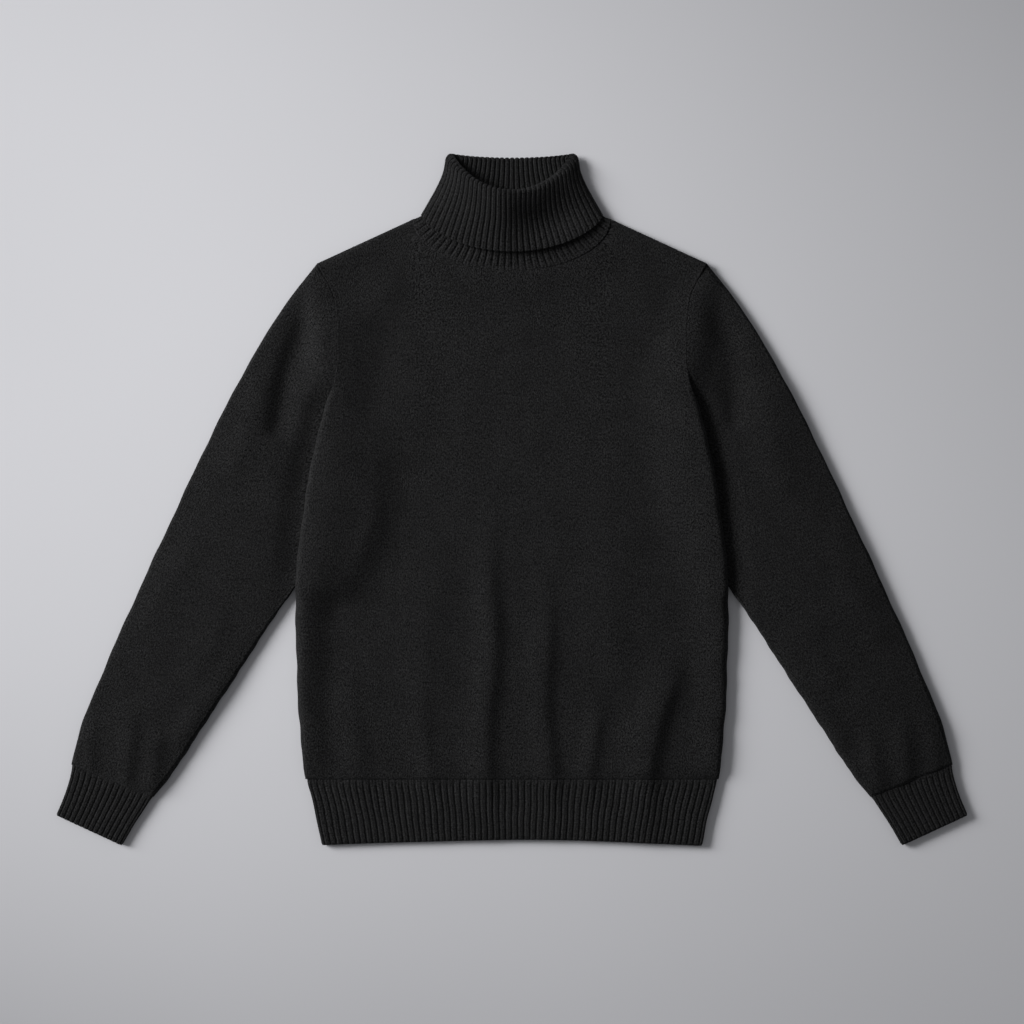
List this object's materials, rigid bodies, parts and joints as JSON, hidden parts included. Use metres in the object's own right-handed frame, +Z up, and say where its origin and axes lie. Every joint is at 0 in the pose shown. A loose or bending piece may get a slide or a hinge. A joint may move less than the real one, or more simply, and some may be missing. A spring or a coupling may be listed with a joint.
{
  "type": "turtleneck sweater",
  "caption": "Long-sleeved turtleneck sweater in felted wool knit, laid flat front up, with a folded rib collar, ribbed cuffs and a ribbed hem.",
  "frame": {"origin": "on the surface that the sweater lies on, under the middle of its outline", "axes": "+Y towards the neck, +X towards the sleeve at the viewer's right, +Z up out of the front panel"},
  "size_m": [0.993, 0.7539, 0.0286],
  "materials": {
    "wool_jersey": "felted wool jersey, matt, charcoal black",
    "wool_rib": "one-by-one wool rib, matt, charcoal black"
  },
  "bodies": {
    "root": {"front_body": "wool_jersey", "back_body": "wool_jersey", "sleeve_left": "wool_jersey", "sleeve_right": "wool_jersey", "collar": "wool_rib", "hem_rib_front": "wool_rib", "hem_rib_back": "wool_rib", "cuff_left": "wool_rib", "cuff_right": "wool_rib"}
  },
  "joints": []
}
